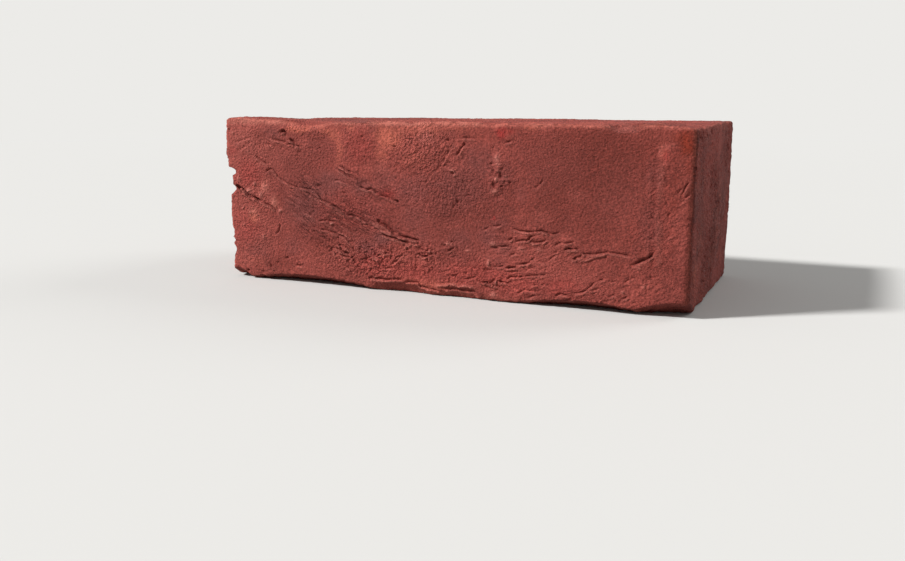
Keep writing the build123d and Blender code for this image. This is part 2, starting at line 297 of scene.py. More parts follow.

# Pits and grains in the shown face: the place, the reach across, the reach up and the depth. A depth
# below 0 is a grain or crumb that stands out. Pits are darkened as painted shade, and grains made paler,
# partly as a painted highlight, by these shares.
PIT_PAINTED_SHADE = 0.9
GRAIN_PALE_AND_HIGHLIGHT = 0.8
PITS = (
    (143.5, 57.5, 0.8, 1.1, 0.6), (146.8, 55.5, 0.6, 1.1, 0.6), (147.5, 58.5, 0.7, 0.5, 0.5),
    (143.7, 51.2, 0.9, 1.1, 0.9), (147.3, 51, 0.7, 0.5, 0.5), (148, 49.5, 0.8, 0.4, 0.5),
    (145.5, 46, 0.5, 0.9, 0.4), (142.3, 60.5, 0.8, 0.5, 0.5), (151.2, 52.7, 0.7, 0.4, 0.6),
    (145, 63, 1.0, 1.3, -0.5), (145.5, 60.5, 1.2, 0.7, -0.4), (144.8, 54, 1.0, 0.7, -0.6),
    (144.3, 48.5, 1.4, 0.9, -0.5), (146, 57.6, 0.8, 0.7, -0.4), (149.5, 55, 0.8, 0.6, -0.3),
    (143.6, 25.1, 1.3, 1.0, -0.5), (143.8, 23.6, 1.4, 0.5, 0.6), (141.5, 16.4, 0.7, 1.9, -0.6),
    (141.6, 13.2, 1.6, 0.5, 0.6), (145.1, 7.6, 0.5, 1.1, -0.8), (143.9, 2.2, 1.5, 1.2, -0.6),
    (140.4, 13.8, 1.0, 0.6, 0.4), (146, 23.6, 1.8, 0.7, 0.4), (148.3, 30.5, 1.0, 0.8, 0.4),
    (15.4, 47.3, 0.8, 0.9, -0.7), (11.4, 43.8, 1.3, 0.9, -0.8), (18.9, 41.9, 0.9, 1.5, -0.6),
    (21, 46, 1.8, 2.2, -0.4), (26.5, 38.3, 1.9, 2.8, -0.5), (30.2, 34.4, 1.0, 0.7, -0.7),
    (7.2, 34.6, 0.6, 0.6, -0.6), (11.8, 32.8, 0.9, 0.7, -0.5), (7.4, 26.3, 0.6, 0.5, -0.5),
    (5.4, 49.4, 1.0, 1.6, -0.5), (13.5, 33.5, 2.5, 2.0, -0.3), (19.6, 21, 0.8, 1.0, -0.5),
    (3.2, 72.2, 0.7, 0.6, -0.5), (12, 63, 0.9, 0.7, -0.3), (59.8, 29.7, 0.9, 0.5, -0.9),
    (58.9, 30.9, 1.0, 0.4, 0.6), (60.6, 30.9, 1.0, 0.4, 0.6), (112, 19.6, 0.9, 0.6, -0.6),
    (110.7, 19.8, 0.7, 0.4, 0.6), (53, 47.8, 1.7, 0.6, 0.6), (95.6, 42.1, 1.0, 0.6, 0.8),
    (121.2, 24, 1.1, 0.6, -0.5), (123.8, 55.9, 0.8, 0.6, 0.8), (123.6, 57.2, 0.8, 0.5, -0.7),
    (124.7, 56.5, 0.4, 0.6, -0.6), (124.9, 54.9, 0.5, 0.4, -0.5), (126.2, 43.3, 0.7, 0.8, 0.7),
    (124.9, 41.5, 0.6, 0.6, 0.5), (131.6, 46.4, 1.0, 0.5, 0.6), (131.8, 48, 0.9, 0.4, 0.5),
    (129.6, 68.8, 0.9, 0.7, 0.7), (121.6, 70.6, 1.1, 0.6, 0.6), (94.7, 67.1, 1.0, 0.4, 0.6),
    (54.1, 65.6, 0.7, 0.4, 0.6), (42.5, 63.7, 1.2, 0.4, 0.5), (77.6, 71.3, 0.9, 0.5, 0.5),
    (113.6, 73.4, 0.8, 0.6, 0.5), (8.6, 2.9, 0.8, 0.8, 0.8), (18.3, 2.9, 1.2, 0.7, 0.7),
    (22.9, 6.3, 0.4, 1.1, 0.6), (33, 11.1, 1.1, 0.5, 0.6), (27.4, 8.2, 0.9, 0.5, 0.5),
    (49.4, 25.3, 1.0, 0.6, 0.6), (67.3, 44.9, 1.5, 0.5, 0.4), (0.6, 73.8, 0.7, 0.6, 0.7),
    (0.7, 36.9, 0.9, 0.6, 0.5), (83, 5.2, 0.9, 0.5, -0.6), (131.4, 21.4, 1.0, 0.5, -0.5),
    (157, 24, 1.6, 1.0, -0.3), (165.3, 23.8, 1.6, 0.8, -0.3), (202.6, 8.3, 0.8, 0.6, -0.5),
    (209, 19.2, 1.0, 0.5, -0.4), (211.3, 11.6, 1.0, 0.7, -0.4), (214.2, 15.7, 1.4, 0.5, 0.4),
    (215.2, 55.3, 0.6, 0.4, 0.4), (214.3, 53.7, 0.5, 0.4, 0.3), (83, 14, 1.2, 0.8, -0.5),
    (84.5, 13.2, 0.8, 0.6, -0.5), (86.5, 17, 1.0, 0.7, -0.5), (88.5, 16.2, 0.9, 0.7, -0.5),
    (90, 16.5, 0.8, 0.6, -0.4), (218, 56.8, 0.5, 0.5, 0.3), (219.6, 60.5, 0.5, 0.9, 0.4),
    (220.2, 42.3, 0.4, 0.7, 0.4), (213.4, 40.5, 0.8, 0.4, 0.3), (214.5, 44.8, 0.6, 0.6, 0.3),
    (218.9, 46.5, 0.5, 0.8, 0.4), (219, 35, 0.5, 0.7, 0.3), (220.5, 70, 0.8, 0.6, -0.2),
)

# The folds of the shown face are lowest at this place and rise on both sides, by this bow.
FOLD_DIP = 125
FOLD_BOW = 0.0037

# Where the clay of the shown face is folded, crumpled and pebbled: the place, the reach
# across, the reach up and the strength.
FOLDED = (
    (42, 44, 16, 9, 0.8), (62, 38, 16, 9, 0.9), (78, 32, 14, 8, 0.8), (70, 52, 9, 5, 0.7),
    (86, 46, 9, 4, 0.5), (50, 28, 13, 7, 0.8), (98, 26, 10, 6, 0.5), (160, 26, 18, 8, 0.45),
    (156, 14, 15, 9, 0.4), (178, 24, 10, 7, 0.4), (190, 12, 10, 8, 0.25), (180, 5, 12, 4, 0.5),
    (30, 68, 8, 4, 0.5),
)
CRUMPLED = (
    (80, 14, 24, 9, 1.0), (60, 20, 12, 8, 0.8), (108, 16, 12, 9, 0.9), (128, 10, 14, 7, 0.7),
    (38, 12, 12, 7, 0.4), (143, 8, 9, 5, 0.6), (208, 14, 10, 9, 0.3), (122, 22, 8, 5, 0.6),
    (195, 5, 14, 4, 0.5), (147, 54, 6, 9, 0.45), (214, 40, 6, 24, 0.12), (165, 5, 12, 4, 0.4),
)
PEBBLED = (
    (106, 68, 13, 9, 1.0), (92, 60, 8, 9, 0.6), (120, 64, 9, 8, 0.8), (74, 66, 8, 10, 0.6),
    (112, 52, 14, 8, 0.7), (146, 60, 6, 10, 0.5), (132, 54, 8, 8, 0.4), (67, 76, 6, 2.5, 0.8),
    (45, 74, 10, 2.5, 0.6), (128, 40, 12, 8, 0.4), (215, 62, 7, 10, 0.5), (14, 26, 13, 18, 0.35),
    (13, 49, 10, 8, 0.4),
)

# Strokes that run steeply up through the pebbled part: where they are, the middle that
# they are laid out from, and how they run across and up.
STROKED = ((122, 65, 11, 9, 1.0),)
STROKE_MIDDLE = (120, 66)
STROKE_RUN = (0.5, 0.87)


def place_on_shown_face(points):
    """How far across and how far up the shown face each point is."""
    return points[:, 0] + LENGTH / 2 - MARKS_FROM_LEFT, points[:, 2] - MARKS_FROM_BED


def laid_flat(run, rise):
    """Places on a face, with nothing on the third axis."""
    return np.column_stack([run, rise, np.zeros(len(run))])


def crease_relief(across, up):
    """The height that the creases give, the painted shade in their grooves and the painted highlight on
    their rims and ridges.
    """
    height, painted_shade, pale_and_highlit = np.zeros((3, len(across)))
    for depth, half, points in CREASES:
        points = np.array(points, float)
        margin = half + 3
        low = points.min(0) - margin
        high = points.max(0) + margin
        near = np.flatnonzero((across > low[0]) & (across < high[0]) & (up > low[1]) & (up < high[1]))
        if len(near) == 0:
            continue
        here = np.column_stack([across[near], up[near]])
        best = np.full(len(near), np.inf)
        signed = np.zeros(len(near))
        along = np.zeros(len(near))
        runs = np.linalg.norm(np.diff(points, axis=0), axis=1)
        passed = 0.0
        for start, end, run in zip(points[:-1], points[1:], runs):
            line = (end - start) / run
            reach = np.clip((here - start) @ line, 0, run)
            offset = here - (start + reach[:, None] * line)
            gap = np.hypot(offset[:, 0], offset[:, 1])
            side = np.where(line[0] * offset[:, 1] > line[1] * offset[:, 0], 1.0, -1.0)
            side *= 1.0 if line[0] >= 0 else -1.0
            closer = gap < best
            best = np.where(closer, gap, best)
            signed = np.where(closer, gap * side, signed)
            along = np.where(closer, passed + reach, along)
            passed += run
        taper = fade(np.minimum(along, runs.sum() - along), -0.5, 1.8)
        taper *= 0.8 + 0.4 * swell(laid_flat(*here.T), 2.3, 9)
        groove = np.exp(-((signed / (half * CREASE_WIDTH)) ** 2))
        rim = np.exp(-(((signed + half + 0.5) / 0.5) ** 2))
        shoulder = np.exp(-(((signed - half - 0.9) / 0.9) ** 2))
        height[near] += depth * taper * (RIM_RISE * rim + SHOULDER_RISE * shoulder - groove)
        if depth > 0:
            painted_shade[near] = np.maximum(painted_shade[near], GROOVE_PAINTED_SHADE * min(depth, 1.3) * taper * groove)
            pale_and_highlit[near] = np.maximum(pale_and_highlit[near], RIM_PAINTED_HIGHLIGHT * min(depth, 1.0) * taper * rim)
        else:
            pale_and_highlit[near] = np.maximum(pale_and_highlit[near], -RIDGE_PAINTED_HIGHLIGHT * depth * taper * groove)
    return height, painted_shade, pale_and_highlit


def pit_relief(across, up):
    """The height that the pits and grains give, the painted shade in the pits and the paleness of the
    grains, partly a painted highlight.
    """
    height, painted_shade, pale_and_highlit = np.zeros((3, len(across)))
    for place, level, reach_across, reach_up, depth in PITS:
        spread = ((across - place) / reach_across) ** 2 + ((up - level) / reach_up) ** 2
        near = np.flatnonzero(spread < 9)
        hollow = np.exp(-spread[near])
        height[near] -= depth * hollow
        painted_shade[near] = np.maximum(painted_shade[near], PIT_PAINTED_SHADE * max(depth, 0) * hollow)
        pale_and_highlit[near] = np.maximum(pale_and_highlit[near], GRAIN_PALE_AND_HIGHLIGHT * max(-depth, 0) * hollow)
    return height, painted_shade, pale_and_highlit


def laps(run, rise, spacing, seed):
    """Short overlapping laps of clay: a recess above each line and a raised rim below it, with painted
    shade in the recess.
    """
    flat = laid_flat(run, rise)
    phase = rise / spacing + 1.3 * swell(flat, (13, 6, 9), seed)
    phase += 0.5 * swell(flat, (3.5, 2.6, 2), seed + 1)
    level = phase - np.floor(phase)
    broken = fade(swell(flat, (5.5, 2.6, 7), seed + 2), -0.2, 0.4)
    recess = np.exp(-((level / 0.16) ** 2)) + np.exp(-(((1 - level) / 0.05) ** 2))
    rim = np.exp(-(((level - 0.82) / 0.12) ** 2))
    return broken * (0.7 * rim - recess), broken * np.clip(recess, 0, 1)


def wrinkles(run, rise, length, spacing, seed):
    """Thin creases with a raised lip on each side, drawn out along the run of the clay, with painted
    shade in each crease.
    """
    flat = laid_flat(run, rise)
    bend = swell(flat, (length, spacing, 9), seed)
    bend += 0.4 * swell(flat, (length * 0.35, spacing * 0.55, 9), seed + 1)
    groove = np.exp(-((bend / 0.2) ** 2))
    lip = np.exp(-(((np.abs(bend) - 0.5) / 0.25) ** 2))
    broken = fade(swell(flat, (length * 0.8, spacing * 1.7, 9), seed + 2), -0.35, 0.25)
    return broken * (0.5 * lip - groove), broken * groove


def pebbles(points, size, seed):
    """Small rounded lumps with narrow hollows between them."""
    lumps = np.abs(swell(points, size, seed)) + 0.5 * np.abs(swell(points, size * 0.55, seed + 1))
    return np.clip(lumps * 1.7, 0, 1.2) - 0.5


def shown_face_marks(points):
    """The creases and pits of the shown face, with their painted shade and their pale grains and painted
    highlights.
    """
    across, up = place_on_shown_face(points)
    flat = laid_flat(across, up)
    wander = 0.18 * swell(flat, 3.1, 5)
    drift = 0.18 * swell(flat, 2.7, 6)
    crease, painted_shade, pale_and_highlit = crease_relief(across + wander, up + drift)
    pit, pit_painted_shade, pit_pale_and_highlit = pit_relief(across + wander, up + drift)
    return crease + pit, np.maximum(painted_shade, pit_painted_shade), np.maximum(pale_and_highlit, pit_pale_and_highlit)


def shown_face_skin(points):
    """The folds, crumples and pebbles of the shown face between its marks, with painted shade in their
    creases.
    """
    across, up = place_on_shown_face(points)
    flat = laid_flat(across, up)
    stray = (3 * swell(flat, 9, 7), 2 * swell(flat, 8, 8))
    folded = patches(across, up, FOLDED, *stray)
    crumpled = patches(across, up, CRUMPLED, *stray)
    pebbled = patches(across, up, PEBBLED, *stray)
    flow = up - FOLD_BOW * (across - FOLD_DIP) ** 2
    fold, fold_dark = laps(across, flow, 4.6, 11)
    line, line_dark = wrinkles(across, flow, 8, 2.1, 14)
    crumple, crumple_dark = wrinkles(across, flow, 3.6, 2.3, 17)
    run_across, run_up = STROKE_RUN
    steep = run_across * (up - STROKE_MIDDLE[1]) - run_up * (across - STROKE_MIDDLE[0])
    stroke, stroke_dark = wrinkles(run_up * up + run_across * across, steep, 7, 2.4, 20)
    stroked = patches(across, up, STROKED)

    # Each form stands a little everywhere and more in its own patches.
    height = (0.02 + 0.26 * folded) * fold + (0.03 + 0.30 * np.maximum(folded, 0.5 * crumpled)) * line
    height += (0.02 + 0.45 * crumpled) * crumple + 0.26 * stroked * stroke
    height += (0.04 + 0.30 * pebbled + 0.30 * crumpled) * pebbles(flat, 2.1, 23)
    painted_shade = np.zeros(len(up))
    for strength, lines in (
        (0.04 + 0.3 * folded, fold_dark),
        (0.04 + 0.3 * folded, line_dark),
        (0.03 + 0.32 * crumpled, crumple_dark),
        (0.2 * stroked, stroke_dark),
    ):
        painted_shade = np.maximum(painted_shade, strength * lines)
    return height, painted_shade


def plain_face_relief(points, run, seed, middle, bow):
    """The folds of a hidden upright face: bowed laps, close where the clay gathered, with painted shade
    in their recesses and creases.
    """
    up = points[:, 2]
    flat = laid_flat(run, up)
    flow = up - bow * (run - middle) ** 2
    gathered = fade(swell(flat, (38, 24, 38), seed), -0.15, 0.5)
    strewn = fade(swell(flat, (24, 18, 24), seed + 1), 0.0, 0.5)
    folded = fade(swell(flat, (30, 14, 30), seed + 2), 0.0, 0.5)
    broad, broad_dark = laps(run, flow, 7.5, seed + 3)
    close, close_dark = laps(run, flow, 4.2, seed + 6)
    line, line_dark = wrinkles(run, flow, 10, 3.2, seed + 9)
    height = 0.8 * folded * broad + 0.6 * gathered * close + (0.1 + 0.3 * gathered) * line
    height += (0.12 + 0.3 * strewn) * pebbles(points, 3.0, seed + 12)
    painted_shade = np.maximum(0.7 * folded * broad_dark, 0.6 * gathered * close_dark)
    return height, np.maximum(painted_shade, (0.1 + 0.3 * gathered) * line_dark)


def upper_bed_relief(points, seed=51):
    """The struck bed, dragged along its length, with torn places that are darkened as painted shade."""
    drag = swell(points, (34, 3.2, 9), seed) + 0.6 * swell(points, (15, 1.7, 9), seed + 1)
    torn = fade(swell(points, (7, 4.2, 9), seed + 2), 0.4, 0.8)
    height = 0.25 * drag - 0.7 * torn + 0.25 * pebbles(points, 2.8, seed + 3)
    return height, 0.45 * torn


def lower_bed_relief(points, seed=56):
    """The lower bed, which took the grain of the floor that it dried on."""
    return 0.3 * swell(points, 3.2, seed) - 0.2, np.zeros(len(points))


# How far in the arrises are worn, how deep they crumbled, and how high the lower rim waves.
ARRIS_WORN = (0.6, 3.4)
CRUMBLE_DEPTH = 0.45
RIM_WAVE = 0.35


def brick_relief(points, normals):
    """How far each place stands out along its normal, in mm, and the painted shade in its creases and
    recesses.
    """
    up = points[:, 2]
    height = 0.4 * swell(points, 55, 1) + 0.2 * swell(points, 19, 2)
    height += 0.10 * swell(points, 6, 3) + 0.04 * swell(points, 2.2, 4)
    painted_shade = np.zeros(len(points))

    # Each face's direction, its relief, and for a hidden upright one its run, its seed, and
    # the place and the bow of its folds.
    faces = (
        (-normals[:, 1], shown_face_skin, ()),
        (normals[:, 1], plain_face_relief, (LENGTH / 2 - points[:, 0], 21, 100, 0.004)),
        (-normals[:, 0], plain_face_relief, (points[:, 1] + WIDTH / 2, 31, 50, 0.006)),
        (normals[:, 0], plain_face_relief, (WIDTH / 2 - points[:, 1], 41, 62, 0.005)),
        (normals[:, 2], upper_bed_relief, ()),
        (-normals[:, 2], lower_bed_relief, ()),
    )
    for facing, relief, extra in faces:
        share = np.clip(facing, 0, 1) ** 2
        here = np.flatnonzero(share > 0.02)
        given = [value[here] if isinstance(value, np.ndarray) else value for value in extra]
        face_height, face_dark = relief(points[here], *given)
        height[here] += share[here] * face_height
        painted_shade[here] = np.maximum(painted_shade[here], share[here] * face_dark)

    # The arrises crumbled a little all round, and the lower rim of the shown face is uneven.
    distances = np.sort(np.column_stack([
        LENGTH / 2 - np.abs(points[:, 0]),
        WIDTH / 2 - np.abs(points[:, 1]),
        np.minimum(up, HEIGHT - up),
    ]), axis=1)
    arris = 1 - fade(distances[:, 1], *ARRIS_WORN)
    crumble = fade(swell(points, 7, 61), -0.1, 0.7) + 0.5 * fade(swell(points, 3.2, 62), 0.0, 0.7)
    height -= CRUMBLE_DEPTH * arris * crumble
    lip = (1 - fade(up, 2.5, 8)) * np.clip(-normals[:, 1] - normals[:, 2], 0, 1)
    height += RIM_WAVE * lip * swell(points, 3.0, 63)
    return height, np.clip(painted_shade, 0, 1), arris


scene = bpy.context.scene
brick = bpy.data.objects.new("moulded_brick", clay.data.copy())
scene.collection.objects.link(brick)
skin = brick.modifiers.new("even_skin", "REMESH")
skin.mode = "VOXEL"
skin.voxel_size = SKIN_STEP
mesh = applied_mesh(brick)

# The skin of the shown face is made twice as fine as the rest.
centres = np.zeros(len(mesh.polygons) * 3, np.float32)
mesh.polygons.foreach_get("center", centres)
mesh.polygons.foreach_set("select", centres[1::3] * MM < FINE_SKIN_DEPTH - WIDTH / 2)
bpy.ops.object.select_all(action="DESELECT")
brick.select_set(True)
bpy.context.view_layer.objects.active = brick
bpy.ops.object.mode_set(mode="EDIT")
bpy.context.tool_settings.mesh_select_mode = (False, False, True)
bpy.ops.mesh.subdivide(number_cuts=1)
bpy.ops.object.mode_set(mode="OBJECT")

# The upper arris rises near the left end and drops at the right one, the left end leans
# out above the bite, and both fade towards the back. The thumb scoop is pressed a little
# deeper where it meets the shown face.
RISE_PLACES = (0, 3, 7, 12, 22, 62, 112, 150, 217, 227, 232)
RISES = (0.2, 1.2, 1.5, 1.5, 0.6, 0, 0.4, 0, -0.1, -0.9, -1.6)
LEAN_HEIGHTS = (0, 26, 41, 57, 62, 72, 79)
LEANS = (0.2, 0.3, 0.0, -0.3, -0.8, -0.8, 0.0)
BENT_BACK = (5, 70)
LEANT_IN = (0, 40)
SCOOP_PRESSED = 1.1
SCOOP_LEFT = (193, 201)
SCOOP_RIGHT = (208.5, 212.5)
SCOOP_BACK = (2, 16)
points = read_vectors(mesh, "co") * MM
normals = read_vectors(mesh, "normal")
from_left = points[:, 0] + LENGTH / 2
from_front = points[:, 1] + WIDTH / 2
to_back = fade(from_front, *BENT_BACK)
rise = np.interp(from_left, RISE_PLACES, RISES)
lean = np.interp(points[:, 2], LEAN_HEIGHTS, LEANS)
points[:, 0] += lean * (1 - fade(from_left, *LEANT_IN)) * (1 - to_back)
points[:, 2] += rise * (1 - to_back) * (points[:, 2] / HEIGHT) ** 2
scooped = fade(from_left, *SCOOP_LEFT) * (1 - fade(from_left, *SCOOP_RIGHT))
scooped *= 1 - fade(from_front, *SCOOP_BACK)
points[:, 2] -= SCOOP_PRESSED * scooped * (points[:, 2] / HEIGHT) ** 9
height, painted_shade, arris = brick_relief(points, normals)
shaped = points + normals * height[:, None]
shown = np.flatnonzero(points[:, 1] < MARKS_DEPTH - WIDTH / 2)
mark, mark_painted_shade, mark_pale_and_highlit = shown_face_marks(points[shown])
shaped[shown, 1] -= mark
painted_shade[shown] = np.maximum(painted_shade[shown], mark_painted_shade)
grains_and_highlights = np.zeros(len(points))
grains_and_highlights[shown] = mark_pale_and_highlit
shaped[:, 2] = np.maximum(shaped[:, 2], 0)
mesh.vertices.foreach_set("co", (shaped / MM).astype(np.float32).ravel())
# The painted shade of the creases and recesses, and the pale grains with their painted highlights, are
# kept as masks on the mesh.
for name, values in (("painted_crease_shade", painted_shade), ("grains_and_highlights", grains_and_highlights), ("arris", arris)):
    add_mask(mesh, name, values)
mesh.update()

# The shown face keeps more of its faces than the others, and most where it is marked.
SHOWN_KEPT = 0.42
MARKED_KEPT = 0.95
LEAST_MARK = 0.12
KEPT_WEIGHT = 0.0008
on_shown_face = normals[:, 1] < -0.5
marked = (points[:, 1] < MARKS_DEPTH - WIDTH / 2) & (painted_shade + grains_and_highlights > LEAST_MARK)
kept = brick.vertex_groups.new(name="kept")
kept.add(np.flatnonzero(on_shown_face).tolist(), SHOWN_KEPT, "REPLACE")
kept.add(np.flatnonzero(marked).tolist(), MARKED_KEPT, "REPLACE")
thin = brick.modifiers.new("fewer_faces", "DECIMATE")
thin.ratio = BRICK_TRIANGLES / (2 * len(mesh.polygons))
thin.vertex_group = "kept"
thin.invert_vertex_group = True
thin.vertex_group_factor = KEPT_WEIGHT
mesh = applied_mesh(brick)
brick.vertex_groups.clear()
points = read_vectors(mesh, "co") * MM
points[:, 2] = np.maximum(points[:, 2], 0)
mesh.vertices.foreach_set("co", (points / MM).astype(np.float32).ravel())
mesh.polygons.foreach_set("use_smooth", np.ones(len(mesh.polygons), bool))
mesh.update()
mesh.name = "moulded_brick"
normals = read_vectors(mesh, "normal")

# Where the fire and the clay coloured the shown face, and where light and shade are painted in: the
# paler patches are partly a painted highlight on lumps and towards the left-hand end, and the deeper
# ones partly painted shade towards the right-hand end and in its upper corner. Each row is the place,
# the reach across, the reach up and the strength.
OCHRE = (
    (41, 73.8, 7, 1.6, 0.8), (46.5, 74.6, 3.5, 1.6, 0.9), (54, 75.2, 5, 1.6, 0.3),
    (59, 73.8, 5, 1.5, 0.7), (64.8, 67, 1.9, 9, 0.45), (63, 72, 4, 2.5, 0.6), (91, 71, 7, 6, 0.9),
    (88.5, 64.5, 4.5, 5, 0.5), (96, 74, 7, 3, 0.5), (110, 75.5, 12, 3, 0.45), (125, 76, 10, 2, 0.3),
    (161, 76.3, 5, 1.3, 0.5), (216.3, 67.6, 1.9, 2.8, 0.2), (14, 8, 6, 3, 0.15),
    (13.5, 31, 3, 3.6, 0.8), (71.5, 75.3, 2.5, 1.6, 0.6), (21, 46, 3, 4, 0.3),
    (26.5, 38, 3, 3.5, 0.4), (112, 4, 14, 3, 0.4), (104, 62, 6, 4, 0.2),
)
# Paler clay, partly a painted highlight on the lumps and grains and towards the left-hand end.
PALER_AND_HIGHLIT = (
    (8, 71, 11, 8, 0.65), (3, 60, 4, 9, 0.45), (14, 76, 18, 3, 0.5), (12, 43.5, 3, 2, 0.9),
    (6, 28, 7, 9, 0.4), (18, 43, 2, 5, 0.6), (14, 18, 12, 8, 0.4), (215.2, 67.5, 1.1, 2.5, 1.0),
    (217.5, 69.3, 2, 1, 0.7), (217.5, 62.4, 2, 1.3, 0.35), (20, 62, 14, 9, 0.4),
    (29, 34.5, 2, 1.5, 0.6), (88, 57, 4, 3, 0.5), (225.5, 40, 3, 24, 0.25), (50, 13, 20, 6, 0.2),
    (8, 10, 8, 5, 0.4), (145, 62, 1.6, 4, 0.7), (14, 31, 3, 3.6, 1.3), (22, 45, 2.6, 4, 1.5),
    (182, 48, 5, 3, 0.3), (166, 38, 5, 4, 0.3), (111.5, 72.5, 4.5, 4.5, 1.5),
    (144.8, 54, 1.3, 1.1, 0.8), (144.3, 48.5, 1.8, 1.2, 0.6), (141.3, 16, 0.9, 2.6, 0.6),
    (131.3, 21.3, 1.2, 0.8, 0.6),
)
FLASHED = (
    (28, 72.5, 6, 3.5, 0.5), (44, 37, 11, 10, 0.8), (51, 45, 9, 6, 0.8), (36, 17.5, 6, 5, 0.5),
    (79, 19, 7, 5, 0.9), (82, 38, 10, 8, 0.25), (104, 36, 10, 8, 0.6), (107, 27, 6, 4, 0.5),
    (157, 48, 4, 5, 0.4), (126, 50, 14, 11, 0.6), (136, 61, 10, 8, 0.6), (149, 57, 5, 7, 0.5),
    (142, 28, 6, 5, 0.7), (128, 27, 6, 5, 0.5), (148, 23, 4, 4, 0.6), (146, 17, 4, 3, 0.5),
    (213, 57, 5, 8, 0.45), (212, 38, 6, 13, 0.5), (146, 35, 5, 3, 0.5), (118, 44, 12, 9, 0.4),
    (170, 60, 22, 13, 0.3), (200, 50, 16, 16, 0.3), (90, 52, 9, 4, 0.5), (60, 50, 10, 6, 0.9),
    (75, 48, 8, 5, 0.75), (104, 48, 11, 8, 0.75), (86, 24, 6, 4, 1.0), (60, 66, 9, 6, 0.1),
    (15, 14, 7, 4, 0.3),
)
REDDER = (
    (147.3, 74, 2.5, 2.2, 1.3), (144, 36.9, 0.9, 1.0, 1.0), (90.5, 45.4, 6, 2, 0.7),
    (217.8, 66, 1.5, 2.4, 0.5), (151.5, 74.5, 1.5, 1.2, 0.7), (76, 67, 8, 8, 0.4),
    (104, 9, 18, 5, 0.4), (140, 11, 22, 6, 0.4), (2.5, 63.5, 3, 2, 0.4), (8, 25, 9, 9, 0.4),
    (12, 52, 9, 8, 0.5), (84, 12, 12, 7, 0.5), (128, 10, 11, 6, 0.45), (155, 8, 12, 5, 0.45),
    (175, 8, 10, 5, 0.4), (70, 36, 20, 8, 0.2),
)
# Deeper clay, partly painted shade towards the right-hand end and in its upper corner.
DEEPER_AND_SHADED = (
    (190, 60, 40, 22, 1.0), (200, 40, 28, 16, 0.6), (170, 42, 18, 12, 0.5), (213, 44, 8, 32, 0.85),
    (125, 46, 20, 14, 0.4), (104, 36, 14, 10, 0.3), (222, 56, 8, 24, 0.7), (197, 20, 20, 10, 0.3),
    (56, 77, 12, 1.2, 0.9), (42, 77.5, 8, 1.2, 0.9), (23, 71.5, 7, 2.2, 0.5), (150, 74, 30, 4, 0.4),
    (225.5, 71, 4, 7, 1.3), (54, 15, 8, 8, 0.9), (225, 46, 3, 14, 0.35), (212, 7, 6, 5, 0.4),
    (88.5, 31, 3.4, 1.8, 1.1), (30, 8, 9, 4, 0.6), (178, 73, 7, 4, 0.8),
)
FRESHER = (
    (160, 16, 28, 13, 0.8), (180, 10, 26, 10, 0.55), (105, 8, 34, 8, 0.7), (66, 12, 26, 10, 0.3),
    (106, 68, 10, 9, 1.1), (122, 66, 10, 10, 0.8), (86, 12, 11, 7, 1.4), (128, 10, 13, 6, 1.2),
    (155, 8, 11, 6, 1.2), (75, 70, 10, 8, 0.4), (14, 48, 11, 16, 0.6), (208, 10, 14, 9, 0.4),
    (46, 74, 12, 3, 0.4), (46, 64, 9, 7, 0.15), (217.2, 66, 2.8, 4.4, 0.5), (66, 15, 7, 5, 0.6),
    (112, 13, 7, 7, 0.6), (72, 33, 11, 4, 0.5), (64, 38, 16, 7, 0.25), (21, 31, 4.5, 9, 0.8),
    (161, 30, 8, 4, 0.9), (178, 28, 5, 3.5, 0.9),
)
SCORCHED = ((226, 71, 3, 6, 1.0), (222.5, 73, 3, 2.5, 0.5), (227, 63, 1.5, 4, 0.3))

# Where the sanded skin of the shown face is rougher than at its plainest, in the same way.
COARSE = (
    (80, 14, 26, 11, 1.25), (108, 67, 15, 11, 1.4), (158, 10, 20, 8, 0.25), (122, 14, 20, 10, 0.5),
    (147, 54, 6, 11, 0.5), (65, 38, 18, 9, 0.5), (14, 42, 12, 36, 0.7), (120, 48, 22, 12, 0.55),
    (45, 62, 14, 8, 0.3), (75, 68, 10, 10, 0.4), (46, 74, 14, 3, 0.6), (214, 35, 10, 35, 0.15),
    (195, 14, 12, 9, 0.05),
)

# How strongly the upper rim of the shown face is lightened at these places from the left, as a painted
# highlight where the rim catches the light.
RIM_PLACES = (0, 3, 33, 35, 60, 63, 136, 139, 159, 163, 167, 171)
RIM_HIGHLIGHT = (0.4, 0.8, 0.8, 0, 0, 0.7, 0.7, 0.1, 0.1, 0.7, 0.7, 0.3)

arris = np.zeros(len(points), np.float32)
mesh.attributes["arris"].data.foreach_get("value", arris)
here = place_on_shown_face(points)
across, up = here
front = np.clip(-normals[:, 1] * 1.6 - 0.3, 0, 1)
elsewhere = 1 - front
stray = (
    2.2 * swell(points, 7.5, 71) + 0.8 * swell(points, 2.2, 72),
    1.6 * swell(points, 6.1, 73) + 0.8 * swell(points, 2.0, 74),
)
for name, places in (
    ("ochre", OCHRE), ("pale", PALER_AND_HIGHLIT), ("flashed", FLASHED), ("redder", REDDER),
    ("scorched", SCORCHED), ("deeper_and_shaded", DEEPER_AND_SHADED), ("fresher", FRESHER),
):
    add_mask(mesh, name, front * patches(*here, places, *stray))

# Where fine creases are drawn, where the rims are broken, where the upper rim is lightened as a painted
# highlight and the other arrises as rubbed, and how rough it all is.
bed = fade(np.abs(normals[:, 2]), 0.5, 0.8)
folded = patches(*here, FOLDED, *stray)
crumpled = patches(*here, CRUMPLED, *stray)
drawn_side = elsewhere * (1 - bed) + front * (0.1 + 1.05 * folded + 0.2 * crumpled)
rim_highlight = np.interp(across, RIM_PLACES, RIM_HIGHLIGHT)
crest = (1 - fade(HEIGHT - points[:, 2], 0.6, 2.4)) * (1 - fade(points[:, 1] + WIDTH / 2, 1.0, 3.0))
